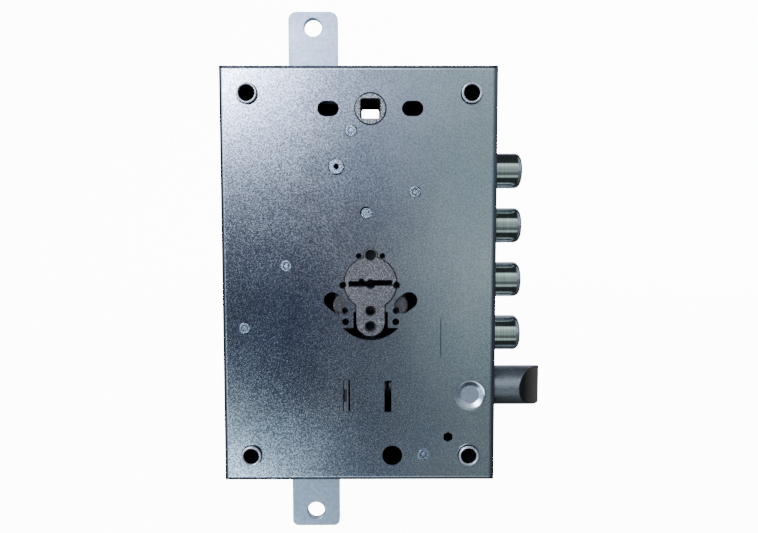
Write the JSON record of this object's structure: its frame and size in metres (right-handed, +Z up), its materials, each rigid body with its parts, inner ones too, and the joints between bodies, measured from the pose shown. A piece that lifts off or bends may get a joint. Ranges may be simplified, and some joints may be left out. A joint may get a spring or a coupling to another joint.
{
  "type": "mortise lock",
  "caption": "Flat cased mortise lock with round deadbolts, a bevelled spring latch, a double-bit key core and rod slides out of its top and bottom.",
  "frame": {"origin": "key axis at the middle of the case's depth", "axes": "+X towards the deadbolts, -Y out of the front face, +Z up towards the handle"},
  "size_m": [0.1637, 0.0324, 0.2673],
  "materials": {
    "case_sheet": "zinc plated",
    "bush_steel": "turned, zinc plated",
    "rivet_steel": "satin",
    "spring_steel": "bright",
    "core_casting": "die-cast, speckled",
    "inner_sheet": "zinc plated",
    "bolt_steel": "polished",
    "rod_zinc": "bright zinc",
    "latch_steel": "sintered, satin",
    "hub_steel": "cast, rough",
    "guard_steel": "hardened, dark",
    "lever_steel": "blanked, oiled"
  },
  "bodies": {
    "case": {"case_shell": "case_sheet", "back_cover": "case_sheet", "corner_bushes": "bush_steel", "case_rivets": "rivet_steel", "hollow_post": "rivet_steel", "spring_post": "rivet_steel", "face_studs": "rivet_steel", "rear_studs": "rivet_steel", "retaining_rings": "spring_steel", "core_plate": "core_casting", "core_body": "core_casting", "core_rear_plate": "core_casting", "core_screw": "rivet_steel", "lever_pins": "rivet_steel", "lever_springs": "spring_steel", "bolt_guide": "inner_sheet", "latch_guide": "inner_sheet", "latch_bracket": "inner_sheet", "follower_spring": "spring_steel", "latch_spring": "spring_steel"},
    "bolts": {"bolt_carriage": "inner_sheet", "deadbolt_1": "bolt_steel", "deadbolt_2": "bolt_steel", "deadbolt_3": "bolt_steel", "deadbolt_4": "bolt_steel", "carriage_stump": "bolt_steel"},
    "gear": {"transfer_gear": "inner_sheet"},
    "upper_rod": {"top_rod": "rod_zinc"},
    "lower_rod": {"bottom_rod": "rod_zinc"},
    "latch": {"latch_bolt": "latch_steel", "latch_pin": "rivet_steel", "latch_collar": "rivet_steel"},
    "follower": {"follower": "hub_steel"},
    "bar": {"latch_bar": "inner_sheet"},
    "crank": {"latch_crank": "inner_sheet"},
    "front_guard": {"front_guard_disc": "guard_steel"},
    "rear_guard": {"rear_guard_disc": "guard_steel"},
    "lever_1": {"lever_1": "lever_steel"},
    "lever_2": {"lever_2": "lever_steel"},
    "lever_3": {"lever_3": "lever_steel"},
    "lever_4": {"lever_4": "lever_steel"},
    "lever_5": {"lever_5": "lever_steel"},
    "lever_6": {"lever_6": "lever_steel"}
  },
  "joints": [
    {"name": "bolt_throw", "type": "slide", "parent": "case", "child": "bolts", "axis": [1, 0, 0], "range_m": [0, 0.028]},
    {"name": "gear_turn", "type": "hinge", "parent": "case", "child": "gear", "pos_m": [-0.036, 0, 0.045], "axis": [0, -1, 0], "range_deg": [0, 126]},
    {"name": "upper_rod_slide", "type": "slide", "parent": "case", "child": "upper_rod", "axis": [0, 0, 1], "range_m": [0, 0.0198]},
    {"name": "lower_rod_slide", "type": "slide", "parent": "case", "child": "lower_rod", "axis": [0, 0, -1], "range_m": [0, 0.0198]},
    {"name": "handle_turn", "type": "hinge", "parent": "case", "child": "follower", "pos_m": [0, 0, 0.0859], "axis": [0, 1, 0], "range_deg": [0, 34.2], "stiffness_Nm_per_rad": 0.6, "springref_deg": -28.65, "deforming": ["follower_spring"]},
    {"name": "bar_slide", "type": "slide", "parent": "case", "child": "bar", "axis": [0, 0, -1], "range_m": [0, 0.00801]},
    {"name": "crank_turn", "type": "hinge", "parent": "case", "child": "crank", "pos_m": [0.021, 0, -0.036], "axis": [0, 1, 0], "range_deg": [0, 34.51]},
    {"name": "latch_slide", "type": "slide", "parent": "case", "child": "latch", "axis": [-1, 0, 0], "range_m": [0, 0.01201], "deforming": ["latch_spring"]},
    {"name": "front_guard_turn", "type": "hinge", "parent": "case", "child": "front_guard", "pos_m": [0, 0, 0], "axis": [0, 1, 0], "continuous": true},
    {"name": "rear_guard_turn", "type": "hinge", "parent": "case", "child": "rear_guard", "pos_m": [0, 0, 0], "axis": [0, 1, 0], "continuous": true},
    {"name": "lever_1_slide", "type": "slide", "parent": "case", "child": "lever_1", "axis": [0, 0, 1], "range_m": [-0.0015, 0.0015], "stiffness_N_per_m": 300, "springref_m": 0.00046, "deforming": ["lever_springs"]},
    {"name": "lever_2_slide", "type": "slide", "parent": "case", "child": "lever_2", "axis": [0, 0, 1], "range_m": [-0.0015, 0.0015], "stiffness_N_per_m": 300, "springref_m": 0.00046, "deforming": ["lever_springs"]},
    {"name": "lever_3_slide", "type": "slide", "parent": "case", "child": "lever_3", "axis": [0, 0, 1], "range_m": [-0.0015, 0.0015], "stiffness_N_per_m": 300, "springref_m": 0.00046, "deforming": ["lever_springs"]},
    {"name": "lever_4_slide", "type": "slide", "parent": "case", "child": "lever_4", "axis": [0, 0, 1], "range_m": [-0.0015, 0.0015], "stiffness_N_per_m": 300, "springref_m": 0.00046, "deforming": ["lever_springs"]},
    {"name": "lever_5_slide", "type": "slide", "parent": "case", "child": "lever_5", "axis": [0, 0, 1], "range_m": [-0.0015, 0.0015], "stiffness_N_per_m": 300, "springref_m": 0.00046, "deforming": ["lever_springs"]},
    {"name": "lever_6_slide", "type": "slide", "parent": "case", "child": "lever_6", "axis": [0, 0, 1], "range_m": [-0.0015, 0.0015], "stiffness_N_per_m": 300, "springref_m": 0.00046, "deforming": ["lever_springs"]}
  ],
  "couplings": [
    {"joint": "gear_turn", "follows": "bolt_throw", "rad_per_m": 78.431},
    {"joint": "upper_rod_slide", "follows": "bolt_throw", "ratio": 0.70588},
    {"joint": "lower_rod_slide", "follows": "bolt_throw", "ratio": 0.70588},
    {"joint": "bar_slide", "follows": "handle_turn", "m_per_rad": 0.013403},
    {"joint": "crank_turn", "follows": "handle_turn", "ratio": 1.0088},
    {"joint": "latch_slide", "follows": "handle_turn", "m_per_rad": 0.020104}
  ]
}
